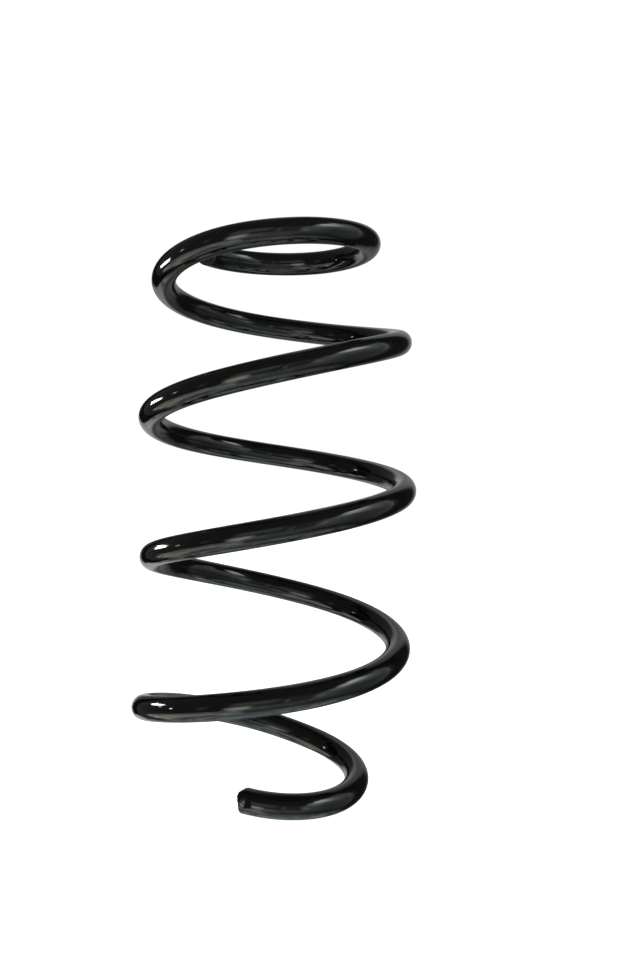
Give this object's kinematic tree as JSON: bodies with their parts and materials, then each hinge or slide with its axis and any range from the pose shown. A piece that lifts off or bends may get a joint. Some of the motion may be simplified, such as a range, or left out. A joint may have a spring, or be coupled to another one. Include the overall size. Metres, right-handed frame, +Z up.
{
  "type": "coil spring",
  "caption": "Helical compression spring of round black-enamelled steel wire, with small flat end coils that sit on spring seats.",
  "frame": {"origin": "on the coil's axis, at the height of the wire's lowest point, where the spring sits on its lower seat", "axes": "+Z up along the coil's axis; the wire's lower end points towards -Y, a little towards -X"},
  "size_m": [0.1514, 0.1495, 0.3046],
  "materials": {
    "enamel": "gloss black stove enamel over steel wire"
  },
  "bodies": {
    "lower_end_coil": {"lower_wire_end": "enamel", "lower_seat_coil_1": "enamel", "lower_seat_coil_2": "enamel"},
    "turn_1_part_4": {"turn_1_part_4": "enamel"},
    "turn_1_part_5": {"turn_1_part_5": "enamel"},
    "turn_1_part_6": {"turn_1_part_6": "enamel"},
    "turn_1_part_7": {"turn_1_part_7": "enamel"},
    "turn_1_part_8": {"turn_1_part_8": "enamel"},
    "turn_2_part_1": {"turn_2_part_1": "enamel"},
    "turn_2_part_2": {"turn_2_part_2": "enamel"},
    "turn_2_part_3": {"turn_2_part_3": "enamel"},
    "turn_2_part_4": {"turn_2_part_4": "enamel"},
    "turn_2_part_5": {"turn_2_part_5": "enamel"},
    "turn_2_part_6": {"turn_2_part_6": "enamel"},
    "turn_2_part_7": {"turn_2_part_7": "enamel"},
    "turn_2_part_8": {"turn_2_part_8": "enamel"},
    "turn_3_part_1": {"turn_3_part_1": "enamel"},
    "turn_3_part_2": {"turn_3_part_2": "enamel"},
    "turn_3_part_3": {"turn_3_part_3": "enamel"},
    "turn_3_part_4": {"turn_3_part_4": "enamel"},
    "turn_3_part_5": {"turn_3_part_5": "enamel"},
    "turn_3_part_6": {"turn_3_part_6": "enamel"},
    "turn_3_part_7": {"turn_3_part_7": "enamel"},
    "turn_3_part_8": {"turn_3_part_8": "enamel"},
    "turn_4_part_1": {"turn_4_part_1": "enamel"},
    "turn_4_part_2": {"turn_4_part_2": "enamel"},
    "turn_4_part_3": {"turn_4_part_3": "enamel"},
    "turn_4_part_4": {"turn_4_part_4": "enamel"},
    "turn_4_part_5": {"turn_4_part_5": "enamel"},
    "turn_4_part_6": {"turn_4_part_6": "enamel"},
    "turn_4_part_7": {"turn_4_part_7": "enamel"},
    "turn_4_part_8": {"turn_4_part_8": "enamel"},
    "turn_5_part_1": {"turn_5_part_1": "enamel"},
    "turn_5_part_2": {"turn_5_part_2": "enamel"},
    "upper_end_coil": {"upper_seat_coil_1": "enamel", "upper_seat_coil_2": "enamel", "upper_seat_coil_3": "enamel", "upper_wire_end": "enamel"}
  },
  "joints": [
    {"name": "compression_twist", "type": "hinge", "parent": "lower_end_coil", "child": "turn_1_part_4", "pos_m": [0.04263, 0.01988, 0.01097], "axis": [0.2889, -0.9566, -0.0382], "range_deg": [0, 2.41], "stiffness_Nm_per_rad": 150, "springref_deg": -0.31},
    {"name": "twist_2", "type": "hinge", "parent": "turn_1_part_4", "child": "turn_1_part_5", "pos_m": [0.0183, 0.05027, 0.0185], "axis": [0.8952, -0.4428, -0.0503], "range_deg": [0, 2.69], "stiffness_Nm_per_rad": 150, "springref_deg": -0.34},
    {"name": "twist_3", "type": "hinge", "parent": "turn_1_part_5", "child": "turn_1_part_6", "pos_m": [-0.02622, 0.05622, 0.0305], "axis": [0.922, 0.3839, -0.0502], "range_deg": [0, 3.46], "stiffness_Nm_per_rad": 150, "springref_deg": -0.38},
    {"name": "twist_4", "type": "hinge", "parent": "turn_1_part_6", "child": "turn_1_part_7", "pos_m": [-0.06484, 0.0236, 0.0435], "axis": [0.3098, 0.9505, -0.0253], "range_deg": [0, 4.38], "stiffness_Nm_per_rad": 150, "springref_deg": -0.41},
    {"name": "twist_5", "type": "hinge", "parent": "turn_1_part_7", "child": "turn_1_part_8", "pos_m": [-0.06305, -0.0294, 0.05384], "axis": [-0.4839, 0.8749, -0.0216], "range_deg": [0, 4.76], "stiffness_Nm_per_rad": 150, "springref_deg": -0.41},
    {"name": "twist_6", "type": "hinge", "parent": "turn_1_part_8", "child": "turn_2_part_1", "pos_m": [-0.02326, -0.0639, 0.063], "axis": [-0.9538, 0.2984, -0.0361], "range_deg": [0, 4.82], "stiffness_Nm_per_rad": 150, "springref_deg": -0.39},
    {"name": "twist_7", "type": "hinge", "parent": "turn_2_part_1", "child": "turn_2_part_2", "pos_m": [0.02843, -0.06098, 0.07062], "axis": [-0.902, -0.4283, -0.0538], "range_deg": [0, 4.81], "stiffness_Nm_per_rad": 150, "springref_deg": -0.37},
    {"name": "twist_8", "type": "hinge", "parent": "turn_2_part_2", "child": "turn_2_part_3", "pos_m": [0.06249, -0.02274, 0.0785], "axis": [-0.3699, -0.9255, -0.0818], "range_deg": [0, 4.63], "stiffness_Nm_per_rad": 150, "springref_deg": -0.35},
    {"name": "twist_9", "type": "hinge", "parent": "turn_2_part_3", "child": "turn_2_part_4", "pos_m": [0.05948, 0.02773, 0.08878], "axis": [0.3782, -0.9212, -0.0919], "range_deg": [0, 4.33], "stiffness_Nm_per_rad": 150, "springref_deg": -0.32},
    {"name": "twist_10", "type": "hinge", "parent": "turn_2_part_4", "child": "turn_2_part_5", "pos_m": [0.02223, 0.06108, 0.1], "axis": [0.9238, -0.3758, -0.0729], "range_deg": [0, 4.08], "stiffness_Nm_per_rad": 150, "springref_deg": -0.31},
    {"name": "twist_11", "type": "hinge", "parent": "turn_2_part_5", "child": "turn_2_part_6", "pos_m": [-0.02748, 0.05894, 0.11163], "axis": [0.9098, 0.4129, -0.042], "range_deg": [0, 4], "stiffness_Nm_per_rad": 150, "springref_deg": -0.29},
    {"name": "twist_12", "type": "hinge", "parent": "turn_2_part_6", "child": "turn_2_part_7", "pos_m": [-0.06155, 0.0224, 0.123], "axis": [0.3291, 0.9442, -0.0105], "range_deg": [0, 4.1], "stiffness_Nm_per_rad": 150, "springref_deg": -0.29},
    {"name": "twist_13", "type": "hinge", "parent": "turn_2_part_7", "child": "turn_2_part_8", "pos_m": [-0.06024, -0.02809, 0.13294], "axis": [-0.4418, 0.8971, -0.0032], "range_deg": [0, 4.31], "stiffness_Nm_per_rad": 150, "springref_deg": -0.29},
    {"name": "twist_14", "type": "hinge", "parent": "turn_2_part_8", "child": "turn_3_part_1", "pos_m": [-0.02309, -0.06343, 0.1425], "axis": [-0.9458, 0.3238, -0.0272], "range_deg": [0, 4.54], "stiffness_Nm_per_rad": 150, "springref_deg": -0.28},
    {"name": "twist_15", "type": "hinge", "parent": "turn_3_part_1", "child": "turn_3_part_2", "pos_m": [0.02878, -0.06171, 0.15253], "axis": [-0.8998, -0.4317, -0.0636], "range_deg": [0, 4.68], "stiffness_Nm_per_rad": 150, "springref_deg": -0.27},
    {"name": "twist_16", "type": "hinge", "parent": "turn_3_part_2", "child": "turn_3_part_3", "pos_m": [0.06437, -0.02343, 0.1625], "axis": [-0.3382, -0.9366, -0.0913], "range_deg": [0, 4.76], "stiffness_Nm_per_rad": 150, "springref_deg": -0.25},
    {"name": "twist_17", "type": "hinge", "parent": "turn_3_part_3", "child": "turn_3_part_4", "pos_m": [0.06245, 0.02912, 0.17225], "axis": [0.4165, -0.9039, -0.0977], "range_deg": [0, 4.8], "stiffness_Nm_per_rad": 150, "springref_deg": -0.23},
    {"name": "twist_18", "type": "hinge", "parent": "turn_3_part_4", "child": "turn_3_part_5", "pos_m": [0.0236, 0.06484, 0.1815], "axis": [0.9339, -0.3497, -0.0751], "range_deg": [0, 4.78], "stiffness_Nm_per_rad": 150, "springref_deg": -0.21},
    {"name": "twist_19", "type": "hinge", "parent": "turn_3_part_5", "child": "turn_3_part_6", "pos_m": [-0.02888, 0.06194, 0.18941], "axis": [0.9117, 0.4094, -0.0355], "range_deg": [0, 4.64], "stiffness_Nm_per_rad": 150, "springref_deg": -0.2},
    {"name": "twist_20", "type": "hinge", "parent": "turn_3_part_6", "child": "turn_3_part_7", "pos_m": [-0.06343, 0.02309, 0.1975], "axis": [0.3598, 0.933, -0.0105], "range_deg": [0, 4.46], "stiffness_Nm_per_rad": 150, "springref_deg": -0.19},
    {"name": "twist_21", "type": "hinge", "parent": "turn_3_part_7", "child": "turn_3_part_8", "pos_m": [-0.06069, -0.0283, 0.20728], "axis": [-0.4096, 0.9122, -0.0046], "range_deg": [0, 4.32], "stiffness_Nm_per_rad": 150, "springref_deg": -0.18},
    {"name": "twist_22", "type": "hinge", "parent": "turn_3_part_8", "child": "turn_4_part_1", "pos_m": [-0.02274, -0.06249, 0.218], "axis": [-0.9402, 0.3397, -0.0237], "range_deg": [0, 4.22], "stiffness_Nm_per_rad": 150, "springref_deg": -0.17},
    {"name": "twist_23", "type": "hinge", "parent": "turn_4_part_1", "child": "turn_4_part_2", "pos_m": [0.02784, -0.0597, 0.22994], "axis": [-0.8925, -0.4467, -0.0628], "range_deg": [0, 4.17], "stiffness_Nm_per_rad": 150, "springref_deg": -0.15},
    {"name": "twist_24", "type": "hinge", "parent": "turn_4_part_2", "child": "turn_4_part_3", "pos_m": [0.06155, -0.0224, 0.2415], "axis": [-0.2998, -0.9503, -0.0838], "range_deg": [0, 4.25], "stiffness_Nm_per_rad": 150, "springref_deg": -0.13},
    {"name": "twist_25", "type": "hinge", "parent": "turn_4_part_3", "child": "turn_4_part_4", "pos_m": [0.05996, 0.02796, 0.25088], "axis": [0.4518, -0.888, -0.0852], "range_deg": [0, 4.49], "stiffness_Nm_per_rad": 150, "springref_deg": -0.11},
    {"name": "twist_26", "type": "hinge", "parent": "turn_4_part_4", "child": "turn_4_part_5", "pos_m": [0.02274, 0.06249, 0.259], "axis": [0.942, -0.3285, -0.0681], "range_deg": [0, 4.62], "stiffness_Nm_per_rad": 150, "springref_deg": -0.1},
    {"name": "twist_27", "type": "hinge", "parent": "turn_4_part_5", "child": "turn_4_part_6", "pos_m": [-0.02758, 0.05914, 0.26578], "axis": [0.9135, 0.4052, -0.036], "range_deg": [0, 4.44], "stiffness_Nm_per_rad": 150, "springref_deg": -0.08},
    {"name": "twist_28", "type": "hinge", "parent": "turn_4_part_6", "child": "turn_4_part_7", "pos_m": [-0.0592, 0.02155, 0.2725], "axis": [0.3843, 0.9231, -0.0156], "range_deg": [0, 3.98], "stiffness_Nm_per_rad": 150, "springref_deg": -0.07},
    {"name": "twist_29", "type": "hinge", "parent": "turn_4_part_7", "child": "turn_4_part_8", "pos_m": [-0.05409, -0.02523, 0.28134], "axis": [-0.3817, 0.9242, -0.0076], "range_deg": [0, 3.37], "stiffness_Nm_per_rad": 150, "springref_deg": -0.06},
    {"name": "twist_30", "type": "hinge", "parent": "turn_4_part_8", "child": "turn_5_part_1", "pos_m": [-0.01915, -0.05262, 0.2895], "axis": [-0.9363, 0.3513, 0.0033], "range_deg": [0, 2.82], "stiffness_Nm_per_rad": 150, "springref_deg": -0.05},
    {"name": "twist_31", "type": "hinge", "parent": "turn_5_part_1", "child": "turn_5_part_2", "pos_m": [0.0222, -0.04761, 0.29456], "axis": [-0.882, -0.4713, -0.0019], "range_deg": [0, 2.46], "stiffness_Nm_per_rad": 150, "springref_deg": -0.04},
    {"name": "twist_32", "type": "hinge", "parent": "turn_5_part_2", "child": "upper_end_coil", "pos_m": [0.04652, -0.01693, 0.2975], "axis": [-0.251, -0.968, -0.0083], "range_deg": [0, 2.39], "stiffness_Nm_per_rad": 150, "springref_deg": -0.02}
  ],
  "couplings": [
    {"joint": "twist_2", "follows": "compression_twist", "ratio": 1.1154},
    {"joint": "twist_3", "follows": "compression_twist", "ratio": 1.4348},
    {"joint": "twist_4", "follows": "compression_twist", "ratio": 1.8157},
    {"joint": "twist_5", "follows": "compression_twist", "ratio": 1.9717},
    {"joint": "twist_6", "follows": "compression_twist", "ratio": 1.9963},
    {"joint": "twist_7", "follows": "compression_twist", "ratio": 1.9913},
    {"joint": "twist_8", "follows": "compression_twist", "ratio": 1.9174},
    {"joint": "twist_9", "follows": "compression_twist", "ratio": 1.7954},
    {"joint": "twist_10", "follows": "compression_twist", "ratio": 1.6915},
    {"joint": "twist_11", "follows": "compression_twist", "ratio": 1.6586},
    {"joint": "twist_12", "follows": "compression_twist", "ratio": 1.6985},
    {"joint": "twist_13", "follows": "compression_twist", "ratio": 1.7865},
    {"joint": "twist_14", "follows": "compression_twist", "ratio": 1.8792},
    {"joint": "twist_15", "follows": "compression_twist", "ratio": 1.9387},
    {"joint": "twist_16", "follows": "compression_twist", "ratio": 1.9724},
    {"joint": "twist_17", "follows": "compression_twist", "ratio": 1.9911},
    {"joint": "twist_18", "follows": "compression_twist", "ratio": 1.9801},
    {"joint": "twist_19", "follows": "compression_twist", "ratio": 1.9229},
    {"joint": "twist_20", "follows": "compression_twist", "ratio": 1.8491},
    {"joint": "twist_21", "follows": "compression_twist", "ratio": 1.7897},
    {"joint": "twist_22", "follows": "compression_twist", "ratio": 1.747},
    {"joint": "twist_23", "follows": "compression_twist", "ratio": 1.7265},
    {"joint": "twist_24", "follows": "compression_twist", "ratio": 1.7624},
    {"joint": "twist_25", "follows": "compression_twist", "ratio": 1.8584},
    {"joint": "twist_26", "follows": "compression_twist", "ratio": 1.916},
    {"joint": "twist_27", "follows": "compression_twist", "ratio": 1.8382},
    {"joint": "twist_28", "follows": "compression_twist", "ratio": 1.6509},
    {"joint": "twist_29", "follows": "compression_twist", "ratio": 1.3957},
    {"joint": "twist_30", "follows": "compression_twist", "ratio": 1.1667},
    {"joint": "twist_31", "follows": "compression_twist", "ratio": 1.0207},
    {"joint": "twist_32", "follows": "compression_twist", "ratio": 0.98956}
  ]
}
